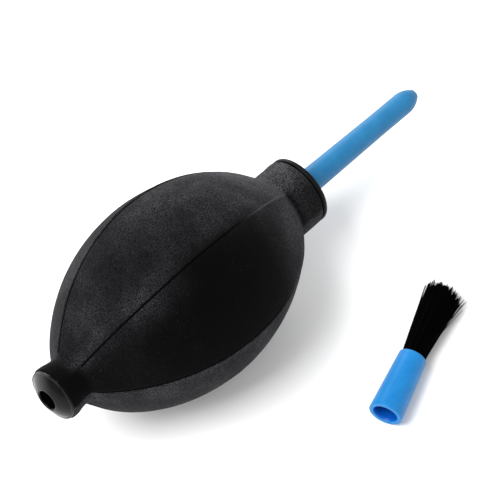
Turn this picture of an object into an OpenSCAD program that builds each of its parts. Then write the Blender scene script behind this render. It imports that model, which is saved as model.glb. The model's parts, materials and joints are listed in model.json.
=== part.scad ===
// Dust blower: a six-panelled rubber squeeze bulb with a blue nozzle and an inlet valve,
// and the loose dusting brush that pushes onto the nozzle, as they lie on a bench.
// Z is up, the bench top is z = 0, and the nozzle points along +X.

/* [Bulb] */
// Largest diameter of the bulb, measured over the ridges
bulb_d = 53; // [40:0.5:70]
// Radius of the lengthwise curve that every panel and ridge follows
bulb_curve = 47.5; // [40:0.5:70]
// Number of panels round the bulb, which meet at as many ridges
panels = 6; // [6:2:8]
// How far a ridge stands proud of the middle of its two panels
ridge_rise = 0.9; // [0.4:0.1:1.6]
// Thickness of the rubber wall
wall = 2.5; // [1.6:0.1:3.5]
// Diameter of the short rear neck that holds the inlet valve
neck_d = 14.8; // [13:0.1:20]
// Length of the rear neck behind the panels
neck_l = 7; // [4:0.2:12]
// Diameter of the front collar that holds the nozzle
collar_d = 19.3; // [17:0.1:26]
// Length of the front collar beyond the panels
collar_l = 8.6; // [6:0.2:14]
// Rubber left round the bore of the neck and of the collar
grip_wall = 2.3; // [1.6:0.1:3.2]

/* [Squeeze walls] */
// Rubber left between a squeeze wall's rim and the side of the bulb
rim_margin = 6.5; // [5:0.5:9]
// Gap round each squeeze wall, where the real rubber bends instead
wall_gap = 0.3; // [0.2:0.05:0.5]

/* [Inlet valve] */
// Radius of the glossy dome that covers the valve
dome_r = 10.6; // [9:0.1:20]
// How far the dome stands out from its rim flange
dome_h = 2.3; // [1.6:0.1:3]
// Diameter of the air inlet in the dome
inlet_d = 5.4; // [3.5:0.1:6]
// Thickness of the dome's rim flange
rim_t = 0.6; // [0.5:0.1:1.2]
// Step from the neck's edge in to the rim flange
rim_step = 0.35; // [0.2:0.05:0.8]
// Length of the valve's barrel inside the neck
barrel_l = 7.5; // [6:0.5:10]
// Thickness of the valve's barrel
barrel_wall = 0.9; // [0.7:0.1:1.2]
// Thickness of the plate that the disc closes against
seat_t = 0.8; // [0.6:0.1:1.4]
// Thickness of the rubber valve disc
disc_t = 0.5; // [0.4:0.1:1]
// How far the disc lifts off its seat
disc_lift = 0.8; // [0.5:0.1:1.5]
// Thickness of the cage that keeps the disc in
cage_t = 1; // [0.8:0.1:1.6]
// Width of the cage's crossed bars
cage_bar = 0.9; // [0.7:0.1:1.4]

/* [Nozzle and plug] */
// Diameter of the nozzle where it leaves the plug
nozzle_d = 6.8; // [6.4:0.1:9]
// Diameter of the nozzle's straight land, which a tip or brush pushes onto
land_d = 6.1; // [5:0.05:6.3]
// Length of the straight land
land_l = 10; // [6:0.5:16]
// Length of the nozzle from the plug's face to its tip
nozzle_l = 44.2; // [30:0.2:80]
// Length of the rounded tip beyond the land
tip_l = 4.9; // [3.5:0.1:6]
// Diameter of the flat at the very tip
tip_d = 2.6; // [2.2:0.1:3.4]
// Diameter of the air outlet
outlet_d = 1.6; // [1:0.1:1.8]
// Diameter of the air passage inside the nozzle
passage_d = 3.8; // [2.6:0.1:4.2]
// Diameter of the plug's flange, seen as a thin disc on the collar
flange_d = 19.2; // [17:0.1:26]
// Thickness of the plug's flange
flange_t = 1.3; // [1:0.1:2.5]
// Gap between the collar's end and the flange
groove_w = 0.35; // [0.2:0.05:1]
// How far the plug reaches into the collar
plug_l = 9.5; // [7:0.5:12]
// Height of the plug's retaining rib
rib_h = 0.6; // [0.3:0.1:0.8]

/* [Brush] */
// Outside diameter of the ferrule at its open mouth
mouth_d = 9; // [8:0.1:11]
// Outside diameter of the ferrule at its bristle end
ferrule_end_d = 7.5; // [6.6:0.1:9]
// Length of the ferrule
ferrule_l = 18.2; // [15:0.2:26]
// Depth of the socket that fits the nozzle's land
socket_l = 9.2; // [7:0.2:11]
// Diameter of the bristle bundle where it leaves the ferrule
bundle_d = 5.2; // [4:0.1:5.4]
// Length of the bristles outside the ferrule
bristle_l = 21.6; // [12:0.2:30]
// Diameter of the fanned bristle tips
fan_d = 9.8; // [8.6:0.1:12]
// Thickness of the ferrule's wall round the bristles
ferrule_wall = 0.55; // [0.45:0.05:0.9]

/* [How it lies] */
// Angle by which the nozzle points down
nose_tilt = 7.5; // [0:0.5:10]
// Turn of the bulb about its own axis, from a ridge at the top
roll = 15; // [0:1:30]
// How deep the soft rubber settles flat where it lies on the bench
belly_flat = 0.5; // [0.3:0.1:0.8]
// Where the brush's mouth lies, along the nozzle's direction
brush_x = 18.3; // [10:0.1:60]
// Where the brush's mouth lies, to the side of the bulb
brush_y = -54.6; // [-90:0.1:-50]
// Turn of the brush from the nozzle's direction
brush_turn = 19.4; // [-30:0.1:40]
// Clearance of the flattened underside of the bristles above the bench
tip_clear = 0.15; // [0.1:0.05:1]

/* [Fits] */
// Interference of pressed-in pieces, on the radius
press = 0.05; // [0.02:0.01:0.1]
// Radial clearance of the valve disc in its chamber
disc_clear = 0.5; // [0.3:0.05:0.8]
// Radial clearance of the brush's socket on the nozzle's land
socket_clear = 0.06; // [0.03:0.01:0.1]
// Clearance of a piece that stands free of its neighbour
free_gap = 0.05; // [0.03:0.01:0.1]

/* [Hidden] */
$fn = 96;
eps = 0.01;
rubber = [0.13, 0.13, 0.13];
blue = [0.25, 0.54, 0.75];

// Bulb: each panel belongs to a lemon turned about an axis set back from the bulb's own,
// and where neighbouring lemons cross there is a ridge.
bulb_r = bulb_d / 2;
half_panel = 180 / panels;
panel_mid_r = bulb_r - ridge_rise;
set_back = (pow(bulb_r, 2) - pow(panel_mid_r, 2)) / (2 * (panel_mid_r - bulb_r * cos(half_panel)));
lemon_r = panel_mid_r + set_back;
function panel_reach(r) = sqrt(pow(bulb_curve, 2) - pow(bulb_curve - panel_mid_r + r, 2));
neck_r = neck_d / 2;
collar_r = collar_d / 2;
neck_x = -panel_reach(neck_r);
collar_x = panel_reach(collar_r);
neck_end = neck_x - neck_l;
collar_end = collar_x + collar_l;
neck_bore_r = neck_r - grip_wall;
collar_bore_r = collar_r - grip_wall;
window_r = bulb_r - rim_margin;
centre_h = bulb_curve - cos(nose_tilt) * (bulb_curve - lemon_r + set_back * cos(half_panel - roll))
           - belly_flat;

// Inlet valve, from the dome inwards along the axis
rim_r = neck_r - rim_step;
rim_x = neck_end - rim_t;
barrel_r = neck_bore_r + press;
chamber_r = barrel_r - barrel_wall;
seat_x = neck_end + seat_t;
disc_x = seat_x + free_gap;
cage_x = disc_x + disc_t + disc_lift + free_gap;
inlet_r = inlet_d / 2;

// Plug and nozzle
flange_x = collar_end + groove_w;
plug_face = flange_x + flange_t;
rib_w = 1.6;
rib_x = collar_end - plug_l / 2;
nozzle_r = nozzle_d / 2;
land_r = land_d / 2;
tip_x = plug_face + nozzle_l;
land_end = tip_x - tip_l;
land_x = land_end - land_l;
tip_curve = (pow(tip_l, 2) + pow(land_r - tip_d / 2, 2)) / (2 * (land_r - tip_d / 2));

// Brush, along its own axis from the ferrule's mouth
mouth_r = mouth_d / 2;
socket_r = land_r + socket_clear;
lead_in = 0.8;
stop_r = 2;
stop_t = 1.4;
bundle_r = bundle_d / 2;
root_bore_r = ferrule_end_d / 2 - ferrule_wall;
root_x = socket_l + stop_t;
root_end = ferrule_l - bundle_r - 0.4;
brush_dip = atan((mouth_r - ferrule_end_d / 2) / ferrule_l);

// Lays a piece built about +Z, nozzle end up, along the blower's axis.
module along_blower() {
    translate([0, 0, centre_h]) rotate([0, 90 + nose_tilt, 0]) rotate([0, 0, roll]) children();
}

// Lays a piece built about +Z, bristles up, along the brush's axis; the ferrule lies on its side.
module along_brush() {
    translate([brush_x, brush_y, mouth_r * cos(brush_dip)])
        rotate([0, 90 + brush_dip, brush_turn]) children();
}

// Keeps what lies above a height over the bench.
module above(height) {
    difference() {
        children();
        translate([-tip_x, -2 * tip_x, height - tip_x]) cube([4 * tip_x, 4 * tip_x, tip_x]);
    }
}

// A ring or disc from radius inner to outer between two heights.
module band(inner, outer, low, high) {
    translate([inner, low]) square([outer - inner, high - low]);
}

// A lemon of radius lemon_r less inset, with its seam on the side that no panel uses.
module lemon(inset) {
    rotate([0, 0, 180]) rotate_extrude() intersection() {
        translate([lemon_r - bulb_curve, 0]) circle(r = bulb_curve - inset);
        translate([0, -bulb_curve]) square([bulb_curve, 2 * bulb_curve]);
    }
}

// The bulb's panelled form, or its cavity when inset is the wall.
module panelled(inset) {
    intersection_for(i = [0 : panels - 1])
        rotate([0, 0, half_panel * (2 * i + 1)]) translate([-set_back, 0, 0]) lemon(inset);
}

// The whole rubber moulding, before the squeeze walls are parted from it.
module rubber_shell() {
    difference() {
        union() {
            panelled(0);
            translate([0, 0, neck_end]) cylinder(r = neck_r, h = -neck_end);
            cylinder(r = collar_r, h = collar_end);
        }
        panelled(wall);
        translate([0, 0, neck_end - eps]) cylinder(r = neck_bore_r, h = -neck_end);
        cylinder(r = collar_bore_r, h = collar_end + eps);
        translate([0, 0, rib_x - rib_w / 2]) cylinder(r = collar_bore_r + rib_h, h = rib_w);
    }
}

// The round window that a squeeze wall fills; side is 1 for left and -1 for right.
module window(side, r) {
    rotate([-90 * side, 0, 0]) cylinder(r = r, h = bulb_d);
}

module bulb_body() {
    color(rubber) above(0) along_blower() difference() {
        rubber_shell();
        window(1, window_r);
        window(-1, window_r);
    }
}

module squeeze_wall(side) {
    color(rubber) along_blower() intersection() {
        rubber_shell();
        window(side, window_r - wall_gap);
    }
}

module squeeze_wall_left() { squeeze_wall(1); }

module squeeze_wall_right() { squeeze_wall(-1); }

module valve_cap() {
    color([0.05, 0.05, 0.06]) along_blower() rotate_extrude() difference() {
        union() {
            intersection() {
                translate([0, rim_x - dome_h + dome_r]) circle(r = dome_r);
                band(0, rim_r, rim_x - dome_h, rim_x + eps);
            }
            band(0, rim_r, rim_x, neck_end);
            band(0, barrel_r, neck_end, neck_end + barrel_l);
        }
        band(0, inlet_r, rim_x - 2 * dome_h, seat_x + eps);
        band(0, chamber_r, seat_x, neck_end + barrel_l + eps);
    }
}

module valve_disc() {
    color([0.35, 0.35, 0.36]) along_blower() translate([0, 0, disc_x])
        cylinder(r = chamber_r - disc_clear, h = disc_t);
}

module valve_cage() {
    color([0.2, 0.2, 0.2]) along_blower() translate([0, 0, cage_x]) {
        rotate_extrude() band(chamber_r - 0.7, chamber_r + press, 0, cage_t);
        intersection() {
            cylinder(r = chamber_r, h = cage_t);
            for (turn = [0, 90])
                rotate([0, 0, turn]) translate([-chamber_r, -cage_bar / 2, 0])
                    cube([2 * chamber_r, cage_bar, cage_t]);
        }
    }
}

module nozzle_plug() {
    edge_r = flange_t / 2;
    color(rubber) along_blower() rotate_extrude() difference() {
        union() {
            band(0, flange_d / 2 - edge_r, flange_x, plug_face);
            translate([flange_d / 2 - edge_r, flange_x + edge_r]) circle(r = edge_r);
            band(0, flange_d / 2 - edge_r, collar_end, flange_x + eps);
            band(0, collar_bore_r + press, collar_end - plug_l, collar_end + eps);
            band(0, collar_bore_r + rib_h + press, rib_x - rib_w / 2, rib_x + rib_w / 2);
        }
        band(0, nozzle_r - press, collar_end - plug_l - eps, plug_face + eps);
    }
}

module nozzle() {
    color(blue) along_blower() rotate_extrude() difference() {
        union() {
            band(0, nozzle_r, collar_end - plug_l, plug_face);
            polygon([[0, plug_face], [nozzle_r, plug_face], [land_r, land_x], [land_r, land_end],
                     [0, land_end]]);
            intersection() {
                translate([land_r - tip_curve, land_end]) circle(r = tip_curve);
                band(0, land_r, land_end - eps, tip_x);
            }
        }
        polygon([[0, collar_end - plug_l - eps], [passage_d / 2, collar_end - plug_l - eps],
                 [passage_d / 2, land_x], [outlet_d / 2, land_end], [outlet_d / 2, tip_x + eps],
                 [0, tip_x + eps]]);
    }
}

module brush_ferrule() {
    color([0.2, 0.54, 0.82]) along_brush() rotate_extrude() difference() {
        polygon([[0, 0], [mouth_r, 0], [ferrule_end_d / 2, ferrule_l], [0, ferrule_l]]);
        polygon([[0, -eps], [socket_r + 0.25, -eps], [socket_r, lead_in], [socket_r, socket_l],
                 [stop_r, socket_l], [stop_r, root_x], [root_bore_r, root_x],
                 [root_bore_r, ferrule_l + eps], [0, ferrule_l + eps]]);
    }
}

// The glued butt ends of the bristles, which close the ferrule.
module bristle_plug() {
    color([0.1, 0.09, 0.08]) along_brush() translate([0, 0, root_x])
        cylinder(r = root_bore_r + press, h = root_end - root_x);
}

// The free bristles as one closed form, with a ball at the root so that it can lean. Its
// underside is flat where the bench bends the bristles up.
module bristle_tuft() {
    color([0.03, 0.03, 0.03]) above(tip_clear) along_brush() translate([0, 0, ferrule_l]) {
        sphere(r = bundle_r);
        cylinder(r1 = bundle_r, r2 = fan_d / 2, h = bristle_l);
    }
}

bulb_body();
squeeze_wall_left();
squeeze_wall_right();
valve_cap();
valve_disc();
valve_cage();
nozzle_plug();
nozzle();
brush_ferrule();
bristle_plug();
bristle_tuft();
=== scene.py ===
# %% [markdown]
# # A dust blower and its brush
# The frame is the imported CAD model: it fixes where every body is and how it moves. This script
# gives that frame its looks. Everything below is in metres, and a length written in millimetres
# is multiplied by MM where it is used.

# %% Load the frame
import json
import math

import bpy
import numpy as np
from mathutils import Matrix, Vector, noise


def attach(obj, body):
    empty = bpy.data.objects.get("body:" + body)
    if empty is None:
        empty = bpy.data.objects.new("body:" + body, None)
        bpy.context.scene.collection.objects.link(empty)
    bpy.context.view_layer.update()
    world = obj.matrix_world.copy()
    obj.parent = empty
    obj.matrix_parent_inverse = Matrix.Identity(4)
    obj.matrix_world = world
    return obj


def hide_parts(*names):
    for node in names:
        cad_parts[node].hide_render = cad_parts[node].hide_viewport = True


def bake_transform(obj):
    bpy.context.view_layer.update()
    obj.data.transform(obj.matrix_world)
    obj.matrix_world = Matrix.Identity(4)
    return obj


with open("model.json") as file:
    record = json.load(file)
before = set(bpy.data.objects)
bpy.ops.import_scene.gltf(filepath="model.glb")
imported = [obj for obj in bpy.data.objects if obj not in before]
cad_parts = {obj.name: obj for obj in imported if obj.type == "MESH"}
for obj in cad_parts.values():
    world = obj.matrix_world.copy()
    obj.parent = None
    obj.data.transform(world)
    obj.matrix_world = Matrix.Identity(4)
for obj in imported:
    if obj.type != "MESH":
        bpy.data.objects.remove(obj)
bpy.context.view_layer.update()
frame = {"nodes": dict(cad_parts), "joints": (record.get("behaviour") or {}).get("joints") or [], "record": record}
MM = 0.001

# %% [markdown]
# ## The two axes
# The blower is turned work: everything but the panels is round about one slanted axis, and the
# brush is round about another. The record's mounts and joints say where both axes run, so each
# piece can be drawn flat, as distance along the axis and distance out from it, in millimetres.

# %% The blower's axis and the brush's axis
mounts = {m["name"]: m for m in frame["record"]["mounts"]}
joints = {j["name"]: j for j in frame["joints"]}


class Axis:
    """A place and three directions: along the axis, side and third, which are across it."""

    def __init__(self, origin, along, side):
        self.origin = Vector(origin)
        self.along = Vector(along).normalized()
        self.side = (Vector(side) - self.along * self.along.dot(Vector(side))).normalized()
        self.third = self.side.cross(self.along)

    def point(self, x, r, angle):
        """Where a point x along and r out is, in metres, when x and r are in millimetres."""
        out = self.third * math.cos(angle) + self.side * math.sin(angle)
        return self.origin + (self.along * x + out * r) * MM

    def measure(self, node):
        """How far along and how far out each vertex of a CAD node is, in millimetres."""
        co = np.array([v.co for v in frame["nodes"][node].data.vertices]) - np.array(self.origin)
        x = co @ np.array(self.along) / MM
        out = co / MM - np.outer(x, np.array(self.along))
        return x, np.linalg.norm(out, axis=1)


def ends(axis, node):
    """A turned node's two ends, and the largest and smallest radius at each, in millimetres."""
    x, r = axis.measure(node)
    low, high = x.min(), x.max()
    at_low, at_high = r[x < low + 0.02], r[x > high - 0.02]
    return low, high, (at_low.max(), at_low.min()), (at_high.max(), at_high.min())


nose = Vector(mounts["brush_land"]["axis"])
land_place = Vector(mounts["brush_land"]["pos_m"])
left_out = -Vector(joints["left_squeeze"]["axis"])
blower = Axis(land_place - nose * (land_place.x / nose.x), nose, left_out)
bristles_out = -Vector(mounts["brush_socket"]["axis"])
brush = Axis(joints["bristle_lean"]["pos_m"], bristles_out, Vector(joints["bristle_lean"]["axis"]))
print("bulb centre", [round(v / MM, 2) for v in blower.origin], "mm")

# %% [markdown]
# ## Camera
# A product shot: a long lens from about a metre, looking down at sixty degrees, with the nozzle
# pointing away to the upper right. A long lens keeps the bulb from looking swollen in front.

# %% Camera
scene = bpy.context.scene
VIEW_AZIMUTH = math.radians(-46.8)
VIEW_ELEVATION = math.radians(61)
VIEW_DISTANCE = 1.005
LENS = 288
# How far the middle of the picture lies from the bulb's centre, to the right and up
AIM_RIGHT, AIM_UP = 18.15 * MM, 10.35 * MM

view_right = Vector((math.cos(VIEW_AZIMUTH), math.sin(VIEW_AZIMUTH), 0))
view_back = Vector((math.sin(VIEW_AZIMUTH) * math.cos(VIEW_ELEVATION),
                    -math.cos(VIEW_AZIMUTH) * math.cos(VIEW_ELEVATION),
                    math.sin(VIEW_ELEVATION)))
view_up = view_back.cross(view_right)
aim = blower.origin + view_right * AIM_RIGHT + view_up * AIM_UP
camera = bpy.data.objects.new("camera", bpy.data.cameras.new("camera"))
scene.collection.objects.link(camera)
camera.data.lens = LENS
camera.data.sensor_width = 36
camera.data.clip_end = 10
camera.location = aim + view_back * VIEW_DISTANCE
camera.rotation_mode = "QUATERNION"
camera.rotation_quaternion = (-view_back).to_track_quat("-Z", "Y")
scene.camera = camera
print("camera at", [round(v, 3) for v in camera.location])

# %% [markdown]
# ## Floor and light
# The bench is a white sheet in a white room. A big softbox high on the near left is the key: it
# lights the panels on its own side and throws the soft shadow to the right. A weak one, low behind
# the bulb on the left, draws the far edge out. Black rubber shows its form mostly by what it
# reflects, so the pale room matters as much as the lamps.

# %% Floor, room and lamps
FLOOR_SIZE = 6.0
bpy.ops.mesh.primitive_plane_add(size=FLOOR_SIZE, location=(0, 0, 0))
floor = bpy.context.object
floor.name = "bench_top"
view_ahead = Vector((-math.sin(VIEW_AZIMUTH), math.cos(VIEW_AZIMUTH), 0))


def softbox(name, place, size, power):
    """A square area lamp at place that faces the bulb."""
    lamp = bpy.data.lights.new(name, "AREA")
    lamp.size, lamp.energy = size, power
    holder = bpy.data.objects.new(name, lamp)
    scene.collection.objects.link(holder)
    holder.location = place
    holder.rotation_mode = "QUATERNION"
    holder.rotation_quaternion = (blower.origin - place).to_track_quat("-Z", "Y")


KEY_PLACE = -view_right * 0.51 - view_ahead * 0.24 + Vector((0, 0, 0.92))
RIM_PLACE = -view_right * 0.45 + view_ahead * 0.9 + Vector((0, 0, 0.35))
ROOM_BRIGHTNESS = 0.79
softbox("key_softbox", KEY_PLACE, 0.6, 14.8)
softbox("rim_softbox", RIM_PLACE, 0.5, 5.5)
world = bpy.data.worlds.new("white_room")
world.use_nodes = True
room = world.node_tree.nodes["Background"]
room.inputs["Color"].default_value = (1, 1, 1, 1)
room.inputs["Strength"].default_value = ROOM_BRIGHTNESS
scene.world = world
scene.view_settings.view_transform = "Standard"

# %% [markdown]
# ## Shader maths
# A material is easier to read as arithmetic than as a web of nodes. This class wraps a socket, so
# that `1 - mask` adds the Math node that works it out, and `node` makes any other kind of node.


# %% The shader class
class Shade:
    """A socket in a material's tree that takes part in Python arithmetic."""

    def __init__(self, tree, socket=None):
        self.tree, self.socket = tree, socket

    def node(self, kind, settings=None, inputs=None, output=0):
        """Makes a node: its settings first, then what its sockets take."""
        made = self.tree.nodes.new(kind)
        for name, value in (settings or {}).items():
            setattr(made, name, value)
        for name, value in (inputs or {}).items():
            if isinstance(value, Shade):
                self.tree.links.new(value.socket, made.inputs[name])
            else:
                made.inputs[name].default_value = value
        return Shade(self.tree, made.outputs[output])

    def math(self, operation, first, second):
        return self.node("ShaderNodeMath", {"operation": operation}, {0: first, 1: second})

    def __add__(self, other):
        return self.math("ADD", self, other)

    __radd__ = __add__

    def __mul__(self, other):
        return self.math("MULTIPLY", self, other)

    __rmul__ = __mul__

    def __sub__(self, other):
        return self.math("SUBTRACT", self, other)

    def __rsub__(self, other):
        return self.math("SUBTRACT", other, self)

    def clamp(self):
        return self.node("ShaderNodeClamp", {}, {"Value": self})

    def between(self, low, high):
        """0 where this is at low or under, 1 where it is at high or over, and smooth between."""
        return self.node("ShaderNodeMapRange", {"interpolation_type": "SMOOTHSTEP"},
                         {"Value": self, "From Min": low, "From Max": high})

    def mix(self, first, second):
        """A colour from first, where this is 0, to second, where it is 1."""
        return self.node("ShaderNodeMix", {"data_type": "RGBA"}, {0: self, 6: first, 7: second}, 2)


def grey(value):
    return (value, value, value, 1)


class Finish:
    """A new material: its shader, its constants, and the noises that vary over its surface.

    Noises sit at each point's place, or at the place that a vertex attribute keeps from rest.
    """

    def __init__(self, name, attribute=None, **constants):
        self.material = bpy.data.materials.new(name)
        self.material.use_nodes = True
        tree = self.material.node_tree
        self.shader = tree.nodes["Principled BSDF"]
        self.start = Shade(tree)
        if attribute:
            self.place = self.start.node("ShaderNodeAttribute", {"attribute_name": attribute}, {}, 1)
        else:
            self.place = self.start.node("ShaderNodeTexCoord", output=3)
        for socket, value in constants.items():
            self.shader.inputs[socket.replace("_", " ")].default_value = value

    def noise(self, grain, detail=3, rough=0.5, stretch=None):
        """Noise from about 0.3 to 0.7, whose lumps are grain millimetres across."""
        place = self.place
        if stretch:
            place = self.start.node("ShaderNodeVectorMath", {"operation": "MULTIPLY"},
                                    {0: place, 1: stretch})
        return self.start.node("ShaderNodeTexNoise", {}, {
            "Vector": place, "Scale": 1 / (grain * MM), "Detail": detail, "Roughness": rough})

    def cells(self, grain):
        """Distance from the nearest of many scattered points, grain millimetres apart."""
        return self.start.node("ShaderNodeTexVoronoi", {}, {
            "Vector": self.place, "Scale": 1 / (grain * MM)})

    def value(self, attribute):
        """A number that each vertex carries."""
        return self.start.node("ShaderNodeAttribute", {"attribute_name": attribute}, {}, 2)

    def set(self, socket, shade):
        self.start.tree.links.new(shade.socket, self.shader.inputs[socket])

    def bump(self, height, distance, strength=1.0):
        """Raises the surface by height times distance millimetres, as light sees it."""
        self.set("Normal", self.start.node("ShaderNodeBump", {}, {
            "Height": height, "Distance": distance * MM, "Strength": strength}))


print("shader class ready")

# %% [markdown]
# ## Floor paint
# Matt white card. Only its shade varies, very slightly, so that the picture isn't dead.

# %% Floor paint
card = Finish("white_card", Roughness=0.9, Specular_IOR_Level=0.1)
card.set("Base Color", card.noise(60, 2).between(0.3, 0.7).mix(grey(0.90), grey(0.93)))
floor.data.materials.append(card.material)
print("floor", card.material.name)

# %% [markdown]
# ## Moulded rubber
# The bulb is black moulded rubber with talc bloom: nearly black where it is clean, grey where fine
# powder sits. It has no gloss, only a wide soft sheen. A fine pebble grain, about a third of a
# millimetre, breaks that sheen up, and a few paler crumbs lie on top, most of them at the rear
# neck. A noise alone would spread the bloom evenly, so vertex attributes say how far along the
# bulb a point is, how far it is from a ridge, and how much dust and painted light it carries.
# The painted light makes the panel that faces the lamps paler, and the lower panels too, as a
# painted reflection of the white bench; painted shade darkens a crease by the collar; each ridge
# seam has painted shade in its groove at the rear and a painted highlight at the front.


# %% Rubber
CLEAN_RUBBER = (0.0009, 0.0009, 0.0011, 1)
# The pale grey of talc powder, which is also the painted light on the panels that face the lamps and the bench
POWDERED_AND_LIT_RUBBER = (0.063, 0.063, 0.068, 1)
# Painted highlight on the raised seam at the front of each ridge
PAINTED_SEAM_HIGHLIGHT = (0.060, 0.060, 0.064, 1)


def rubber():
    """Black moulded rubber: dark body, powdery talc with painted light, seams with painted shade and highlight,
    pebble grain and pale crumbs.
    """
    f = Finish("moulded_rubber", "rest_place", Specular_IOR_Level=0.022, Sheen_Weight=0.026,
               Sheen_Roughness=0.4, Sheen_Tint=(0.93, 0.91, 1.0, 1.0))
    along, ridge, dust = f.value("along_mm"), f.value("ridge_mm"), f.value("dust")
    cloud = f.noise(9, 4, 0.6).between(0.36, 0.68)
    grain = f.noise(0.42, 3, 0.65)
    powder = f.noise(0.28, 2, 0.6).between(0.33, 0.73)
    # Talc powder and painted light together: both come from one vertex attribute
    bloom_and_light = (dust * (0.6 + cloud * 0.8) * powder).clamp()
    body = bloom_and_light.mix(CLEAN_RUBBER, POWDERED_AND_LIT_RUBBER)
    # The seam on each ridge: painted shade in its groove at the rear, and a painted highlight on its raised line
    # at the front
    line = 1 - ridge.between(0.14, 0.42)
    seam_groove_shade = line * (1 - along.between(8, 22))
    seam_highlight = line * along.between(12, 26)
    body = seam_groove_shade.mix(body, grey(0.0003))
    body = (seam_highlight * 0.5).mix(body, PAINTED_SEAM_HIGHLIGHT)
    crumbs = 1 - f.cells(1.1).between(0.05, 0.12)
    crumbs = crumbs * f.noise(4, 1).between(0.52, 0.60)
    neck_share = 0.3 + 0.5 * (1 - along.between(-38, -30))
    f.set("Base Color", (crumbs * neck_share).mix(body, grey(0.08)))
    f.set("Roughness", (0.58 + grain * 0.22 + cloud * 0.06).clamp())
    f.bump(grain + f.noise(0.16, 2) * 0.5 + f.noise(3.2, 2) * 1.2, 0.12)
    return f.material


rubber_finish = rubber()
print("made", rubber_finish.name)

# %% [markdown]
# ## The bulb
# One hollow moulding: a short rear neck, six panels, and a front collar. It could be a lathed
# form with the ridges carved in, but the panels are the object's character, so each point's
# radius comes from the rule the mould follows: a panel is part of a wide circle set back from the
# axis, and the ridge is where two of them meet. A soft maximum blends the panels into the neck
# and the collar with a small fillet.
#
# The rubber is squeezed from two sides, and a piece can bend between only two bodies. So the
# moulding is made as two closed half shells that meet on a ridge, where a real mould also parts.

# %% Sizes of the bulb, in millimetres
PANELS = 6
HALF_PANEL = math.pi / PANELS
RIDGE_TURN = 360 / PANELS
BULB_CURVE = 47.5
WALL = 2.5
# The blend where panels meet neck or collar, the rounding of both open ends, and the neck's waist
FILLET, LIP, NECK_WAIST = 0.4, 0.55, 0.55
# Heights of the seams: the top one sinks at the rear and stands up at the front
TOP_SEAM_REAR, TOP_SEAM_FRONT, SIDE_SEAM = -0.26, 0.14, -0.34
SEAM_WIDTH = 0.28
# The thin bead beside each side seam: its height, its width, and how far from the seam it runs
BEAD, BEAD_WIDTH, BEAD_OFF = 0.22, 0.30, 0.62
neck_end, collar_end, neck_ring, collar_ring = ends(blower, "bulb_body")
neck_r, collar_r = neck_ring[0], collar_ring[0]
neck_bore, collar_bore = neck_ring[1], collar_ring[1]
ridge_r = blower.measure("bulb_body")[1].max()
wall_points = [v.co - blower.origin for v in frame["nodes"]["squeeze_wall_left"].data.vertices]
panel_mid_r = max(p.dot(blower.side) for p in wall_points) / MM
set_back = (ridge_r ** 2 - panel_mid_r ** 2) / (2 * (panel_mid_r - ridge_r * math.cos(HALF_PANEL)))
print("ridge", round(ridge_r, 2), "panel middle", round(panel_mid_r, 2), "neck", round(neck_end, 2),
      round(neck_r, 2), "collar", round(collar_end, 2), round(collar_r, 2))


# %% The rule for the bulb's radius
def off_ridge(angle):
    """The angle from the nearest ridge, and from the middle of the panel."""
    turn = angle % (2 * HALF_PANEL)
    return min(turn, 2 * HALF_PANEL - turn), turn - HALF_PANEL


def panel_radius(x, angle, inset):
    """Radius of the panelled form at x along the axis, or of its cavity, inset by the wall."""
    curve = BULB_CURVE - inset
    drop = BULB_CURVE - math.sqrt(max(curve ** 2 - x ** 2, 0))
    reach = panel_mid_r + set_back - drop
    off_middle = off_ridge(angle)[1]
    under = reach ** 2 - (set_back * math.sin(off_middle)) ** 2
    if reach <= set_back or under <= 0:
        return 0.0
    return math.sqrt(under) - set_back * math.cos(off_middle)


def from_top(angle):
    """How many degrees round from the uppermost ridge an angle is, whichever way is shorter."""
    return 180 - abs(math.degrees(angle))


def soft_max(a, b, blend):
    """The larger of two lengths, rounded off where they are nearly equal."""
    return (a + b + math.sqrt((a - b) ** 2 + blend ** 2)) / 2


def ease(value, low, high):
    """0 where value is at low or under, 1 where it is at high or over, and smooth between."""
    t = min(max((value - low) / (high - low), 0), 1)
    return t * t * (3 - 2 * t)


def outer_radius(x, angle):
    """The moulding's outer radius, with its seams, fillets and the slight lumps of real rubber."""
    tube = neck_r - NECK_WAIST * ease(x, neck_end + 1.2, neck_end + 5) if x < 0 else collar_r
    panel = panel_radius(x, angle, 0)
    radius = soft_max(panel, tube, FILLET)
    turn = from_top(angle)
    arc = math.radians(turn - RIDGE_TURN * round(turn / RIDGE_TURN)) * radius
    on_panels = ease(panel - tube, -0.6, 0.8)
    if turn < RIDGE_TURN / 2:
        height = TOP_SEAM_REAR + (TOP_SEAM_FRONT - TOP_SEAM_REAR) * ease(x, 6, 24)
    else:
        height = SIDE_SEAM
        radius += BEAD * math.exp(-((arc - BEAD_OFF) / BEAD_WIDTH) ** 2) * on_panels
    seam = height * math.exp(-(arc / SEAM_WIDTH) ** 2) * on_panels
    place = blower.point(x, radius, angle) / MM
    lumps = noise.noise(place / 11) * 0.10 + noise.noise(place / 4) * 0.035
    lumps += noise.noise(place / 2.2) * (1 - on_panels) * (0.10 if x < 0 else 0.05)
    return radius + seam + lumps


def inner_radius(x, angle):
    """The cavity's radius, which narrows into the bore at each end."""
    bore = neck_bore if x < 0 else collar_bore
    return soft_max(panel_radius(x, angle, WALL), bore, 0.2)


print("radius at the middle of a panel", round(outer_radius(0, HALF_PANEL), 2))
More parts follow.
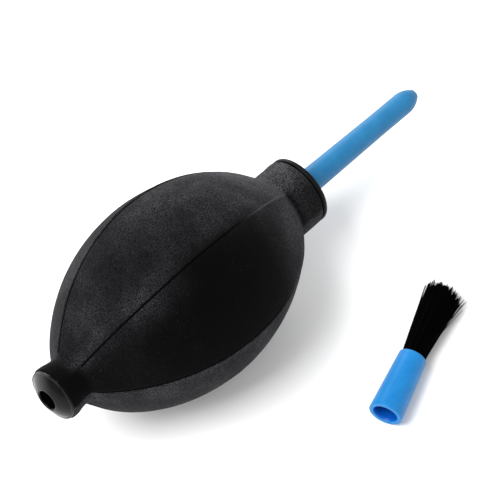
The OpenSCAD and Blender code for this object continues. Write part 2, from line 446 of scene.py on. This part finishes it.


# %% Where dust lies and where light and shade are painted
def dust_and_painted_light(x, turn):
    """How much talc, dust, painted light and painted shade the rubber carries; turn is in degrees from the top
    ridge.
    """
    # Painted light: the panel beyond the top ridge, which faces the lamps, is made paler, most of all towards its
    # own far ridge
    far_side = ease(turn, -3, 12) * (0.21 + 0.38 * ease(x, -8, 30) + 0.08 * ease(-x, 10, 32))
    far_side += 0.58 * ease(turn, 20, 50) * (1 - ease(turn, 59, 61)) * ease(x, -14, 10)
    far_side *= ease(x, -41.5, -38)
    # Painted light, from the bench below and the lamp on the left: the lower panels, past the two side ridges, are
    # made paler
    lower = 0.32 * ease(turn, 59.6, 60.8) + 0.75 * ease(-turn, 59.6, 60.8)
    # Both sides of the top ridge, and the rear as a whole, but not the neck
    rear = 0.05 * ease(-x, 6, 34)
    rear += 0.30 * math.exp(-(turn / 12) ** 2) * ease(-x, 4, 20)
    rear += 0.12 * math.exp(-(turn / 9) ** 2) * ease(x, 2, 18)
    rear *= ease(x, -39, -36)
    # The front, where the collar is wiped cleaner, and painted shade darkens the crease on the near side
    front = 0.95 * ease(x, 14, 32) - 0.54 * ease(x, 35.5, 37.5)
    front -= 0.65 * math.exp(-((x - 36.3) / 0.8) ** 2) * ease(-turn, -6, 3)
    return 0.02 + far_side + lower + rear + front


print("dust at the middle of the top ridge", round(dust_and_painted_light(0, 0), 2))


# %% Where the rings and the columns of the mesh go
SWELL_FROM, SWELL_TO = -40.0, 38.5
SWELL_RINGS = 120
LIP_STEPS = 5
# Degrees from a ridge: close together by the seam, then evenly across the panel
BY_SEAM = [0, 0.35, 0.75, 1.3]
ACROSS_PANEL = list(np.linspace(2.4, 57.6, 22))


def ring_places():
    """Places along the axis, each with how much the lip there is rounded off."""
    lip = []
    for i in range(LIP_STEPS + 1):
        t = i / LIP_STEPS * math.pi / 2
        lip.append((LIP * (1 - math.sin(t)), LIP * (1 - math.cos(t))))
    places = [(neck_end + inward, cut) for inward, cut in reversed(lip)]
    places += [(x, 0) for x in np.linspace(neck_end + LIP, SWELL_FROM, 6)[1:-1]]
    turns = np.linspace(math.asin(SWELL_FROM / BULB_CURVE), math.asin(SWELL_TO / BULB_CURVE),
                        SWELL_RINGS)
    places += [(BULB_CURVE * math.sin(t), 0) for t in turns]
    places += [(x, 0) for x in np.linspace(SWELL_TO, collar_end - LIP, 8)[1:-1]]
    return places + [(collar_end - inward, cut) for inward, cut in lip]


def column_angles(side):
    """Angles round one half, close together at each ridge and wider across the panels."""
    panel = BY_SEAM + ACROSS_PANEL + [RIDGE_TURN - a for a in BY_SEAM[:0:-1]]
    degrees = [RIDGE_TURN * k + a for k in range(PANELS // 2) for a in panel] + [180]
    return [side * math.radians(a) for a in degrees]


print("rings", len(ring_places()), "columns in each half", len(column_angles(1)))


# %% Put a mesh in the scene
def mesh_of(name, verts, faces, numbers, bends=False):
    """A mesh whose vertices carry named numbers and, if it bends, their place at rest."""
    mesh = bpy.data.meshes.new(name)
    mesh.from_pydata([tuple(v) for v in verts], [], faces)
    mesh.update()
    for label, values in numbers.items():
        mesh.attributes.new(label, "FLOAT", "POINT").data.foreach_set("value", values)
    if bends:
        rest = mesh.attributes.new("rest_place", "FLOAT_VECTOR", "POINT")
        rest.data.foreach_set("vector", [c for v in verts for c in v])
    return mesh


def piece(name, mesh, finish, sharp_above):
    """Puts a finished mesh in the scene, smooth but for edges that turn more than sharp_above."""
    made = bpy.data.objects.new(name, mesh)
    scene.collection.objects.link(made)
    mesh.materials.append(finish)
    mesh.shade_smooth()
    mesh.set_sharp_from_angle(angle=math.radians(sharp_above))
    return made


print("mesh makers ready")


# %% One half of the moulding
def half_shell(name, side):
    """One closed half of the moulding: outside, inside, both ends and the parting faces."""
    rings, columns = ring_places(), column_angles(side)
    verts, along, ridge, dust = [], [], [], []
    for surface in (outer_radius, inner_radius):
        for x, cut in rings:
            for angle in columns:
                r = surface(x, angle) - (cut if surface is outer_radius else 0)
                place = blower.point(x, r, angle)
                # The soft rubber settles flat where it lies on the bench
                place.z = max(place.z, 0)
                verts.append(place)
                along.append(x)
                dust.append(dust_and_painted_light(x, side * from_top(angle)))
                swell = panel_radius(x, angle, 0) - (neck_r if x < 0 else collar_r)
                off_panels = 1 - ease(swell, -0.3, 0.3)
                ridge.append(off_ridge(angle)[0] * r + 2 * off_panels)
    rows, cols = len(rings), len(columns)
    faces = []

    def at(skin, i, j):
        return skin * rows * cols + i * cols + j

    for i in range(rows - 1):
        for j in range(cols - 1):
            faces.append((at(0, i, j), at(0, i, j + 1), at(0, i + 1, j + 1), at(0, i + 1, j)))
            faces.append((at(1, i, j), at(1, i + 1, j), at(1, i + 1, j + 1), at(1, i, j + 1)))
        for j, flip in ((0, 1), (cols - 1, -1)):
            strip = (at(0, i, j), at(0, i + 1, j), at(1, i + 1, j), at(1, i, j))
            faces.append(strip[::flip])
    for j in range(cols - 1):
        for i, flip in ((0, 1), (rows - 1, -1)):
            strip = (at(0, i, j), at(1, i, j), at(1, i, j + 1), at(0, i, j + 1))
            faces.append(strip[::flip])
    if side > 0:
        faces = [face[::-1] for face in faces]
    numbers = {"along_mm": along, "ridge_mm": ridge, "dust": dust}
    return piece(name, mesh_of(name, verts, faces, numbers, bends=True), rubber_finish, 50)


print("vertices in each half", 2 * len(ring_places()) * len(column_angles(1)))


# %% Make both halves
SIDES = {"left": (1, "left_wall"), "right": (-1, "right_wall")}
for label, (side, wall_body) in SIDES.items():
    half = half_shell(f"bulb_skin_{label}", side)
    push_from = blower.origin + blower.side * side * (collar_r + 0.3) * MM
    push_to = blower.origin + blower.side * side * ridge_r * MM
    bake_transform(half)
    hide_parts(f"squeeze_wall_{label}")
    if side > 0:
        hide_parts("bulb_body")
    print(half.name, len(half.data.polygons), "faces")

# %% [markdown]
# ## Turned plastic
# The valve cap, plug, nozzle and ferrule are moulded rounds. Each is drawn as a closed outline,
# half of a section through it, and swept round its axis. A sharp corner never catches light as a
# moulded one does, so every corner of the outline is given a small radius first.


# %% Outline and sweep
def rounded(corners, steps=5):
    """A closed outline with its corners rounded. A corner is (x, r, radius of its rounding)."""
    outline = []
    count = len(corners)
    for i, (x, r, radius) in enumerate(corners):
        here = np.array([x, r], float)
        back = np.array(corners[i - 1][:2], float) - here
        ahead = np.array(corners[(i + 1) % count][:2], float) - here
        back_length, ahead_length = np.linalg.norm(back), np.linalg.norm(ahead)
        back, ahead = back / back_length, ahead / ahead_length
        half = math.acos(np.clip(back @ ahead, -1, 1)) / 2
        if radius <= 0 or half > math.radians(88):
            outline.append(here)
            continue
        cut = min(radius / math.tan(half), back_length * 0.49, ahead_length * 0.49)
        bend = cut * math.tan(half)
        middle = here + (back + ahead) / np.linalg.norm(back + ahead) * bend / math.sin(half)
        start, end = here + back * cut - middle, here + ahead * cut - middle
        sweep = math.pi - 2 * half
        for k in range(steps + 1):
            t = k / steps
            arc = (start * math.sin((1 - t) * sweep) + end * math.sin(t * sweep)) / math.sin(sweep)
            outline.append(middle + arc)
    return outline


def turned(name, axis, outline, finish, segments=96, sharp_above=35, wobble=None):
    """Sweeps a closed outline of (x, r) round an axis into a closed ring-shaped solid."""
    count = len(outline)
    verts, out = [], []
    for s in range(segments):
        angle = 2 * math.pi * s / segments
        for x, r in outline:
            extra = wobble(x, r, angle) if wobble else 0
            verts.append(axis.point(x, r + extra, angle))
            out.append(r)
    faces = []
    for s in range(segments):
        t = (s + 1) % segments
        for i in range(count):
            j = (i + 1) % count
            faces.append((s * count + i, s * count + j, t * count + j, t * count + i))
    area = sum(a[0] * b[1] - b[0] * a[1] for a, b in zip(outline, outline[1:] + outline[:1]))
    if area > 0:
        faces = [face[::-1] for face in faces]
    made = piece(name, mesh_of(name, verts, faces, {"out_mm": out}), finish, sharp_above)
    print(name, len(faces), "faces")
    return made


print("a rounded square has", len(rounded([(0, 0, 1), (0, 9, 1), (9, 9, 1), (9, 0, 1)])), "points")


# %% [markdown]
# ## Inlet valve
# A glossy black cap is pressed into the rear neck: a shallow dome with one round hole, standing
# on a thin rim. Behind the hole a rubber disc lies on its seat, held by a cage of two crossed
# bars. The cap is polished styrene, so it has a clear highlight and fine scratches; the disc and
# the cage keep their CAD shapes, which are right, and take duller finishes.


# %% Gloss for the cap, and finishes for what is behind it
def gloss_black():
    f = Finish("polished_black", Specular_IOR_Level=0.12, Coat_Weight=0.02, Coat_Roughness=0.08)
    # Painted light: the half of the dome towards the key lamp, on the camera's left, is pale grey, fading to near
    # black across the middle and at the hole's edge; the smear noise breaks it up
    across = f.start.node("ShaderNodeVectorMath", {"operation": "DOT_PRODUCT"},
                          {0: f.place, 1: tuple(-view_right)}, 1)
    middle = -view_right.dot(Vector(mounts["air_inlet"]["pos_m"]))
    painted_side_light = across.between(middle - 0.5 * MM, middle + 7.5 * MM)
    painted_side_light = painted_side_light * f.value("out_mm").between(mounts["air_inlet"]["dims"]["r_mm"] + 0.1, 3.4)
    smear = f.noise(2.6, 3).between(0.35, 0.7)
    scratch = f.noise(0.5, 2, 0.5, (1, 9, 2)).between(0.52, 0.72)
    f.set("Base Color", (painted_side_light * (0.75 + smear * 0.25)).mix(grey(0.0008), grey(0.075)))
    f.set("Roughness", 0.17 + smear * 0.10 + scratch * 0.08)
    f.bump(f.noise(0.9, 2) + scratch * 0.3, 0.012)
    return f.material


def disc_grey():
    f = Finish("disc_rubber", Specular_IOR_Level=0.1)
    f.set("Base Color", f.noise(0.6).between(0.3, 0.7).mix(grey(0.004), grey(0.009)))
    f.set("Roughness", 0.5 + f.noise(0.3) * 0.2)
    f.bump(f.noise(0.2), 0.02)
    return f.material


def cage_black():
    f = Finish("cage_plastic", Specular_IOR_Level=0.2)
    f.set("Base Color", f.noise(0.8).between(0.3, 0.7).mix(grey(0.006), grey(0.011)))
    f.set("Roughness", 0.34 + f.noise(0.5) * 0.2)
    f.bump(f.noise(0.25), 0.015)
    return f.material


def repaint(node, finish):
    """Gives a CAD node, whose shape stays as it is, a better material."""
    slots = frame["nodes"][node].data.materials
    slots.clear()
    slots.append(finish)


repaint("valve_disc", disc_grey())
repaint("valve_cage", cage_black())
print("disc and cage repainted")

# %% Valve cap
DOME_R = 10.6
# The hole's soft edge: how far out it starts, and how deep it runs
MOUTH_ROUND, MOUTH_DEPTH = 0.45, 0.38
INLET_R = mounts["air_inlet"]["dims"]["r_mm"]
_, cap_high, _, barrel_ring = ends(blower, "valve_cap")
inlet_length = mounts["air_inlet"]["dims"]["length_mm"]
inlet_middle = (Vector(mounts["air_inlet"]["pos_m"]) - blower.origin).dot(blower.along) / MM
seat = inlet_middle + inlet_length / 2
cap_x, cap_r = blower.measure("valve_cap")
rim_r = cap_r.max()
rim_low = cap_x[cap_r > rim_r - 0.02].min()
dome_top = inlet_middle - inlet_length / 2 - (DOME_R - math.sqrt(DOME_R ** 2 - INLET_R ** 2))
dome_foot = math.sqrt(DOME_R ** 2 - (DOME_R - (rim_low - dome_top)) ** 2)


def dome_outline():
    """The cap's dome, from its foot to the soft edge of the hole, then round the rest."""
    dome = []
    for r in np.linspace(dome_foot - 0.05, INLET_R + MOUTH_ROUND, 22):
        dome.append((dome_top + DOME_R - math.sqrt(DOME_R ** 2 - r ** 2), r))
    mouth_x = dome[-1][0]
    for k in range(1, 7):
        t = k / 6 * math.pi / 2
        dome.append((mouth_x + MOUTH_DEPTH * (1 - math.cos(t)),
                     INLET_R + MOUTH_ROUND * (1 - math.sin(t))))
    inside = [(seat, INLET_R, 0.05), (seat, barrel_ring[1], 0.1), (cap_high, barrel_ring[1], 0.1),
              (cap_high, barrel_ring[0], 0.2), (neck_end, barrel_ring[0], 0.02),
              (neck_end, rim_r, 0.12), (rim_low, rim_r, 0.2), (rim_low + 0.02, dome_foot + 0.1, 0.05)]
    return [np.array(p) for p in dome] + rounded(inside)


cap = turned("inlet_valve_cap", blower, dome_outline(), gloss_black(), 128, 30)
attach(cap, "blower")
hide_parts("valve_cap")

# %% [markdown]
# ## Plug and nozzle
# A black flanged plug closes the collar. Its flange is a thin disc that stands a hair off the
# rubber, which leaves a dark groove. The blue nozzle passes through it: slim polypropylene, with
# a straight land near the tip for the brush, a bullet nose and a small outlet. Such a moulding
# is satin, lets a little light in, and shows a faint parting line along each side.


# %% Plug
def satin_black():
    f = Finish("plug_plastic", Specular_IOR_Level=0.09)
    cloud = f.noise(3, 3).between(0.3, 0.7)
    f.set("Base Color", cloud.mix(grey(0.002), grey(0.005)))
    f.set("Roughness", 0.40 + cloud * 0.16)
    f.bump(f.noise(0.3, 3), 0.03)
    return f.material


plug_low, plug_face, plug_ring, _ = ends(blower, "nozzle_plug")
plug_r, bore = plug_ring
flange_r = blower.measure("nozzle_plug")[1].max()
groove_r, groove_back, groove_front = flange_r - 0.75, collar_end - 0.1, collar_end + 0.33
plug_corners = [
    (plug_low, bore, 0.2), (plug_low, plug_r, 0.4), (groove_back, plug_r, 0.02),
    (groove_back, groove_r, 0.02), (groove_front, groove_r, 0.02), (groove_front, flange_r, 0.45),
    (plug_face, flange_r, 0.55), (plug_face, bore, 0.15)]
plug = turned("front_plug", blower, rounded(plug_corners), satin_black(), 128, 30)
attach(plug, "blower")
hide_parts("nozzle_plug")


# %% Blue plastic
def blue_plastic(name, deep, pale, rough, bore_r):
    """Satin blue polypropylene: uneven pigment, and painted shade, a darker blue, in the bore, out to bore_r."""
    f = Finish(name, Specular_IOR_Level=0.24, Subsurface_Weight=0.06, Subsurface_Scale=0.6 * MM)
    f.shader.inputs["Subsurface Radius"].default_value = (0.3, 0.7, 1.0)
    cloud = f.noise(5, 4, 0.55).between(0.34, 0.7)
    flow = f.noise(1.6, 3, 0.5, (1, 6, 6)).between(0.4, 0.7)
    skin = (cloud * 0.6 + flow * 0.25).mix(deep, pale)
    # Painted shade: the inside of the bore is coloured a darker blue
    bore_shade = tuple(c * k for c, k in zip(deep, (0.05, 0.46, 0.88))) + (1,)
    f.set("Base Color", f.value("out_mm").between(bore_r, bore_r + 0.15).mix(bore_shade, skin))
    f.set("Roughness", (rough + flow * 0.10 + f.noise(0.4) * 0.08).clamp())
    f.bump(f.noise(0.35, 3) + flow * 0.6, 0.016)
    return f.material


nozzle_blue = blue_plastic("nozzle_blue", (0.011, 0.132, 0.295, 1), (0.019, 0.168, 0.355, 1),
                           0.36, mounts["air_outlet"]["dims"]["r_mm"] + 0.1)
ferrule_blue = blue_plastic("ferrule_blue", (0.004, 0.158, 0.425, 1), (0.010, 0.200, 0.505, 1),
                            0.32, mounts["brush_socket"]["dims"]["r_mm"] + 0.1)
print("made", nozzle_blue.name, "and", ferrule_blue.name)


# %% Nozzle
land_mid = (land_place - blower.origin).dot(blower.along) / MM
land_half = mounts["brush_land"]["dims"]["length_mm"] / 2
land_r = mounts["brush_land"]["dims"]["r_mm"]
nozzle_low, nozzle_tip, _, tip_ring = ends(blower, "nozzle")
nozzle_r = blower.measure("nozzle")[1].max()
land_start, land_end = land_mid - land_half, land_mid + land_half
tip_r, outlet_r = tip_ring
tip_length = nozzle_tip - land_end
tip_curve = (tip_length ** 2 + (land_r - tip_r) ** 2) / (2 * (land_r - tip_r))
PASSAGE_R = 1.9


def nozzle_outline():
    """From the tail, up the outside to the bullet nose, and back down the air passage."""
    outside = [(nozzle_low, nozzle_r - 0.25), (nozzle_low + 0.25, nozzle_r)]
    outside += [(x, nozzle_r) for x in np.linspace(nozzle_low + 1, plug_face, 6)]
    outside += [(x, nozzle_r + (land_r - nozzle_r) * (x - plug_face) / (land_start - plug_face))
                for x in np.linspace(plug_face + 1, land_start, 24)]
    outside += [(x, land_r) for x in np.linspace(land_start + 1, land_end, 8)]
    for x in np.linspace(0.3, tip_length - 0.25, 16):
        outside.append((land_end + x, land_r - tip_curve + math.sqrt(tip_curve ** 2 - x ** 2)))
    lip = outside[-1]
    for k in range(1, 6):
        t = k / 5 * math.pi / 2
        outside.append((lip[0] + 0.25 * math.sin(t), lip[1] - 0.35 * (1 - math.cos(t))))
    passage = [(nozzle_tip, outlet_r + 0.12), (nozzle_tip - 0.12, outlet_r), (land_end, outlet_r),
               (land_start, PASSAGE_R), (nozzle_low, PASSAGE_R)]
    return [np.array(p, float) for p in outside + passage]


def parting_line(x, r, angle):
    """The faint raised line along both sides where the two halves of the mould met."""
    if x < plug_face + 0.4 or r < PASSAGE_R + 0.3:
        return 0.0
    off = min(abs(math.remainder(angle - a, 2 * math.pi)) for a in (0.9, 0.9 + math.pi)) * r
    fade = 1 - ease(x, land_end - 1, nozzle_tip)
    return 0.03 * math.exp(-(off / 0.12) ** 2) * fade


spout = turned("nozzle_tube", blower, nozzle_outline(), nozzle_blue, 160, 30, parting_line)
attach(spout, "blower")
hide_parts("nozzle")

# %% [markdown]
# ## Brush
# A loose blue sleeve with an open socket at one end and black bristles at the other. The sleeve
# is brighter than the nozzle. The bristles are goat-like hair: over a thousand fine strands that
# leave the sleeve packed tight, fan out, and end unevenly, with a few strays at one side. A cone
# with a hair texture would look like felt, so every strand is its own thin tube, in one mesh.

# %% Ferrule
mouth_x, ferrule_top, mouth_ring, top_ring = ends(brush, "brush_ferrule")
socket = mounts["brush_socket"]["dims"]
socket_mid = (Vector(mounts["brush_socket"]["pos_m"]) - brush.origin).dot(brush.along) / MM
socket_start, socket_end = socket_mid - socket["length_mm"] / 2, socket_mid + socket["length_mm"] / 2
STOP_R, STOP_T = 2.0, 1.4
ferrule_corners = [
    (mouth_x, mouth_ring[0], 0.28), (ferrule_top, top_ring[0], 0.2), (ferrule_top, top_ring[1], 0.12),
    (socket_end + STOP_T, top_ring[1], 0.1), (socket_end + STOP_T, STOP_R, 0.1),
    (socket_end, STOP_R, 0.1), (socket_end, socket["r_mm"], 0.1), (socket_start, socket["r_mm"], 0.3),
    (mouth_x, mouth_ring[1], 0.15)]


def lengthened(corners, step=1.2):
    """Adds points along the long straight runs of an outline, so that bends in it stay smooth."""
    outline = rounded(corners)
    dense = []
    for a, b in zip(outline, outline[1:] + outline[:1]):
        parts = max(1, int(np.linalg.norm(b - a) / step))
        dense += [a + (b - a) * k / parts for k in range(parts)]
    return dense


ferrule = turned("brush_sleeve", brush, lengthened(ferrule_corners), ferrule_blue, 128, 30)
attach(ferrule, "brush")
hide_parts("brush_ferrule")


# %% Bristle finishes
def hair_black():
    f = Finish("bristle_hair", "rest_place", Specular_IOR_Level=0.015)
    strand = f.value("strand")
    f.set("Base Color", strand.mix(grey(0.0001), (0.0010, 0.0009, 0.0009, 1)))
    f.set("Roughness", 0.5 + strand * 0.2)
    return f.material


def glue_black():
    f = Finish("bristle_glue", Specular_IOR_Level=0.4)
    f.set("Base Color", f.noise(0.5).between(0.3, 0.7).mix(grey(0.006), grey(0.02)))
    f.set("Roughness", 0.5 + f.noise(0.3) * 0.3)
    f.bump(f.noise(0.25), 0.05)
    return f.material


repaint("bristle_plug", glue_black())
print("bristle plug repainted")

# %% The path of one strand
BRISTLE_LENGTH = 22.0
PACKED_R = top_ring[1] - 0.1
# How much wider the tuft is at its tip than at its root, level with the bench and upright
FAN_WIDE, FAN_DEEP = 1.58, 1.15
# Places along a strand, as shares of its length; the first is inside the sleeve
STATIONS = (-0.16, 0.0, 0.18, 0.38, 0.58, 0.79, 1.0)
draw = np.random.default_rng(7)


def strand_path(level, up, stray):
    """Points of a strand from its root, in the sleeve, to its tip: (x, level, up) in millimetres."""
    share = level / PACKED_R
    length = BRISTLE_LENGTH - 1.5 * max(share, 0) - 0.7 * max(-share, 0) - 0.5 * (up / PACKED_R) ** 2
    # Neighbours cling together in clumps, which end at different lengths
    clump = Vector((level / 0.55, up / 0.8, 0))
    length += noise.noise(clump) * 1.5 + draw.normal(0, 0.35) - abs(draw.normal(0, 0.25))
    tip_level = level * FAN_WIDE + noise.noise(clump + Vector((0, 0, 7))) * 0.5 + draw.normal(0, 0.1)
    tip_up = up * FAN_DEEP + draw.normal(0, 0.14)
    if stray:
        tip_level += stray
        length -= abs(stray) * 0.55
    sway = draw.normal(0, 0.10, 2)
    path = []
    for t in STATIONS:
        spread = max(t, 0) ** (1.12 if not stray else 1.5)
        curl = math.sin(max(t, 0) * math.pi)
        path.append((t * length, level + (tip_level - level) * spread + sway[0] * curl,
                     up + (tip_up - up) * spread + sway[1] * curl))
    return path


def brush_point(x, level, up):
    """A place on the brush, level to its right and up; the bench bends the lowest strands up."""
    place = brush.origin + (brush.along * x - brush.third * level + brush.side * up) * MM
    place.z = soft_max(place.z / MM, 0.2, 0.4) * MM
    return place


print("the tuft is", round(2 * PACKED_R, 2), "mm thick where it leaves the sleeve")

# %% Bristles
STRANDS = 1100
STRAND_R = 0.10
GOLDEN_TURN = math.pi * (3 - math.sqrt(5))
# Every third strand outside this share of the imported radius, on the tuft's right, may stray
STRAY_FROM = 0.72


def bristles():
    """All the strands as one mesh of thin tapered tubes with closed ends."""
    verts, faces, shade = [], [], []
    sides = 4
    for n in range(STRANDS):
        radius = PACKED_R * math.sqrt((n + 0.5) / STRANDS)
        turn = n * GOLDEN_TURN
        root_level = radius * math.cos(turn) + draw.normal(0, 0.05)
        stray = 0.0
        if root_level > PACKED_R * STRAY_FROM and n % 3 == 0:
            stray = abs(draw.normal(0.5, 0.7))
        path = strand_path(root_level, radius * math.sin(turn), stray)
        tone = draw.random()
        first = len(verts)
        for k, (x, level, up) in enumerate(path):
            thick = STRAND_R * (1 - 0.4 * (k / (len(path) - 1)) ** 3)
            for s in range(sides):
                a = 2 * math.pi * s / sides + tone * 3
                verts.append(brush_point(x, level + thick * math.cos(a), up + thick * math.sin(a)))
                shade.append(tone)
        for k in range(len(path) - 1):
            for s in range(sides):
                low, high = first + k * sides, first + (k + 1) * sides
                t = (s + 1) % sides
                faces.append((low + s, high + s, high + t, low + t))
        faces.append(tuple(first + s for s in range(sides)))
        last = len(verts) - sides
        faces.append(tuple(last + s for s in reversed(range(sides))))
    mesh = mesh_of("bristle_hairs", verts, faces, {"strand": shade}, bends=True)
    return piece("bristle_hairs", mesh, hair_black(), 60)


hairs = bristles()
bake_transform(hairs)
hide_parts("bristle_tuft")
print("strands", STRANDS, "faces", len(hairs.data.polygons))
